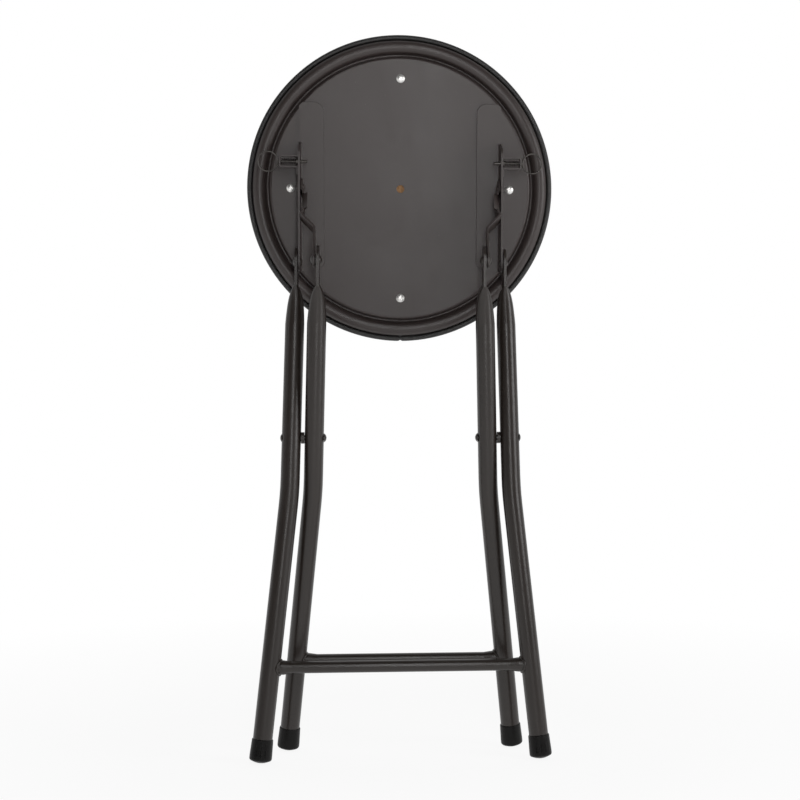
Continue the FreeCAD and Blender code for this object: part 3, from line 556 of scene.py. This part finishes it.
def welt_tree():
    """Round cord turned into a ring, pinched where its two ends meet."""
    group, nodes, given, result = new_group(
        "Welt ring", "GeometryNodeTree",
        [("Geometry", "NodeSocketGeometry", None), ("Ring radius", "NodeSocketFloat", 0.18),
         ("Cord radius", "NodeSocketFloat", 0.003), ("Pinch", "NodeSocketFloat", 0.25),
         ("Material", "NodeSocketMaterial", None)],
        [("Geometry", "NodeSocketGeometry")])
    ring = nodes.add("GeometryNodeCurvePrimitiveCircle")
    set_value(ring, "Resolution", 480)
    nodes.join(given.outputs["Ring radius"], ring.inputs["Radius"])
    factor = nodes.add("GeometryNodeSplineParameter").outputs["Factor"]
    away = combine(nodes, "ABSOLUTE", combine(nodes, "SUBTRACT", factor, SPLICE_AT), 0.0)
    near = span(nodes, away, 0.0005, 0.0022, 1.0, 0.0)
    shrink = combine(nodes, "MULTIPLY", near, given.outputs["Pinch"])
    sweep(nodes, ring.outputs["Curve"], combine(nodes, "SUBTRACT", 1.0, shrink),
          given.outputs["Cord radius"], given.outputs["Material"], result)
    return group


def make_welt():
    """The piping lies just outside the pan's rim, under the cushion's lower edge."""
    welt = converted(empty_mesh("welt"), welt_tree(), {
        "Ring radius": WELT_RING_RADIUS, "Cord radius": WELT_CORD_RADIUS, "Pinch": 0.4,
        "Material": grained_vinyl})
    stand = Matrix.Translation(Vector((0.0, WELT_UP, 0.0))) @ Matrix.Rotation(
        math.radians(90.0), 4, "X")
    welt.data.transform(seat_place @ stand)
    face_outwards(welt)
    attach(welt, "seat")
    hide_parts("seat_piping")


make_welt()


# Weld beads round the crossbars' ends

def weld_tree():
    """A lumpy bead laid along a joint's line."""
    group, nodes, given, result = new_group(
        "Weld bead", "GeometryNodeTree",
        [("Geometry", "NodeSocketGeometry", None), ("Bead radius", "NodeSocketFloat", 0.0016),
         ("Lump scale", "NodeSocketFloat", 420.0), ("Material", "NodeSocketMaterial", None)],
        [("Geometry", "NodeSocketGeometry")])
    place = nodes.add("GeometryNodeInputPosition").outputs["Position"]
    lumps = noise(nodes, place, given.outputs["Lump scale"], 1.0)
    sweep(nodes, given.outputs["Geometry"], span(nodes, lumps, 0.3, 0.7, 0.75, 1.25),
          given.outputs["Bead radius"], given.outputs["Material"], result)
    return group


def joint_line(leg_half, slope, side):
    """Where a crossbar's end meets the inner side of a round leg, in the frame's own place."""
    count = 48
    points = []
    for index in range(count):
        angle = 2.0 * math.pi * index / count
        y = BAR_END_RADIUS * math.cos(angle)
        z = BAR_END_RADIUS * math.sin(angle)
        leg_axis = leg_half - slope * z
        face = leg_axis - math.sqrt(LEG_RADIUS ** 2 - y ** 2) * math.hypot(1.0, slope)
        points.append((side * face, y, z - BAR_DOWN))
    return points


def make_welds(name, body, leg_half, slope, lean):
    """The beads at the left and right ends of one frame's crossbar."""
    lines = bpy.data.curves.new(name, "CURVE")
    lines.dimensions = "3D"
    for side in (-1, 1):
        points = joint_line(leg_half, slope, side)
        spline = lines.splines.new("POLY")
        spline.points.add(len(points) - 1)
        for spot, point in zip(spline.points, points):
            spot.co = (*point, 1.0)
        spline.use_cyclic_u = True
    welds = converted(link_object(name, lines), weld_beads, {"Material": leg_paint})
    welds.data.transform(Matrix.Translation(scissor) @ Matrix.Rotation(lean, 4, "X"))
    face_outwards(welds)
    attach(welds, body)


weld_beads = weld_tree()
make_welds("outer_welds", "outer_frame", OUTER_LEG_HALF, OUTER_LEG_SPREAD, -LEG_LEAN)
make_welds("inner_welds", "inner_frame", INNER_LEG_HALF, INNER_LEG_SPREAD, LEG_LEAN)


# Studio

def floor_material(colour, near_share):
    """Pale floor. The camera sees it turn to plain white away from the object, and under the
    object it keeps a soft shadow."""
    material, nodes, shader = new_material("Pale floor")
    set_value(shader, "Base Color", (colour, colour, colour, 1.0))
    set_value(shader, "Roughness", 0.9)
    glow = nodes.add("ShaderNodeEmission")
    set_value(glow, "Color", (1.0, 1.0, 1.0, 1.0))
    set_value(glow, "Strength", 1.0)
    place = nodes.add("ShaderNodeTexCoord").outputs["Object"]
    away = nodes.add("ShaderNodeVectorMath", operation="LENGTH")
    nodes.join(place, away.inputs[0])
    share = span(nodes, away.outputs["Value"], 0.3, 1.1, near_share, 1.0)
    ray = nodes.add("ShaderNodeLightPath")
    seen = combine(nodes, "MAXIMUM", ray.outputs["Is Camera Ray"], ray.outputs["Is Glossy Ray"])
    mix = nodes.add("ShaderNodeMixShader")
    nodes.join(combine(nodes, "MULTIPLY", seen, share), mix.inputs["Fac"])
    nodes.join(shader.outputs["BSDF"], mix.inputs[1])
    nodes.join(glow.outputs["Emission"], mix.inputs[2])
    output = next(n for n in material.node_tree.nodes if n.type == "OUTPUT_MATERIAL")
    nodes.join(mix.outputs["Shader"], output.inputs["Surface"])
    return material


def make_floor(reach, colour, near_share):
    verts = [(-reach, -reach, 0.0), (reach, -reach, 0.0), (reach, reach, 0.0),
             (-reach, reach, 0.0)]
    floor = mesh_piece("floor", verts, [(0, 1, 2, 3)], floor_material(colour, near_share))


def make_world(front, back):
    """White to the camera. It lights the object dimly from the front, fully from behind."""
    world = bpy.data.worlds.new("Studio")
    bpy.context.scene.world = world
    world.use_nodes = True
    nodes = Nodes(world.node_tree)
    background = next(n for n in world.node_tree.nodes if n.type == "BACKGROUND")
    set_value(background, "Color", (1.0, 1.0, 1.0, 1.0))
    way = nodes.add("ShaderNodeSeparateXYZ")
    nodes.join(nodes.add("ShaderNodeTexCoord").outputs["Generated"], way.inputs["Vector"])
    room = span(nodes, way.outputs["Y"], -0.1, 0.45, front, back)
    ray = nodes.add("ShaderNodeLightPath")
    nodes.join(combine(nodes, "MAXIMUM", room, ray.outputs["Is Camera Ray"]),
               background.inputs["Strength"])


def make_lamp(name, place, target, size, power):
    """A soft rectangular lamp turned towards its target."""
    lamp = bpy.data.lights.new(name, "AREA")
    lamp.shape = "RECTANGLE"
    lamp.size, lamp.size_y = size
    lamp.energy = power
    item = link_object(name, lamp)
    item.location = place
    aim = Vector(target) - Vector(place)
    item.rotation_euler = aim.to_track_quat("-Z", "Y").to_euler()


# Camera: focal length and optical centre in pixels of the square picture, and where it stands
PICTURE = 800.0
SENSOR_WIDTH = 36.0
FOCAL_PIXELS = 1557.0
CENTRE_PIXELS = (488.2, 381.6)
CAMERA_FROM_SCISSOR = Vector((-31.6, -1814.9, 64.3)) * MM
CAMERA_PAN = math.radians(-4.20)
CAMERA_TILT = math.radians(90.03)


def make_camera():
    """Seen level from 1.8 m in front of the scissor pivot, with the lens shifted to frame it."""
    lens = bpy.data.cameras.new("camera")
    lens.sensor_width = SENSOR_WIDTH
    lens.lens = SENSOR_WIDTH * FOCAL_PIXELS / PICTURE
    lens.shift_x = -(CENTRE_PIXELS[0] - PICTURE / 2.0) / PICTURE
    lens.shift_y = -(PICTURE / 2.0 - CENTRE_PIXELS[1]) / PICTURE
    camera = link_object("camera", lens)
    camera.location = scissor + CAMERA_FROM_SCISSOR
    look = Matrix.Rotation(CAMERA_PAN, 4, "Z") @ Matrix.Rotation(CAMERA_TILT, 4, "X")
    camera.rotation_euler = look.to_euler()
    bpy.context.scene.camera = camera


make_floor(reach=12.0, colour=0.92, near_share=0.90)
make_world(front=0.06, back=0.8)
make_lamp("front softbox", place=(0.07, -1.6, 1.0), target=(0.0, 0.0, 0.5),
          size=(0.2, 1.5), power=8.0)
make_lamp("right softbox", place=(1.8, -0.9, 0.9), target=(0.0, 0.0, 0.45),
          size=(0.8, 1.1), power=14.0)
make_lamp("left softbox", place=(-2.0, -0.4, 1.1), target=(0.0, 0.0, 0.5),
          size=(0.7, 0.8), power=2.0)
make_camera()
bpy.context.scene.view_settings.view_transform = "Standard"
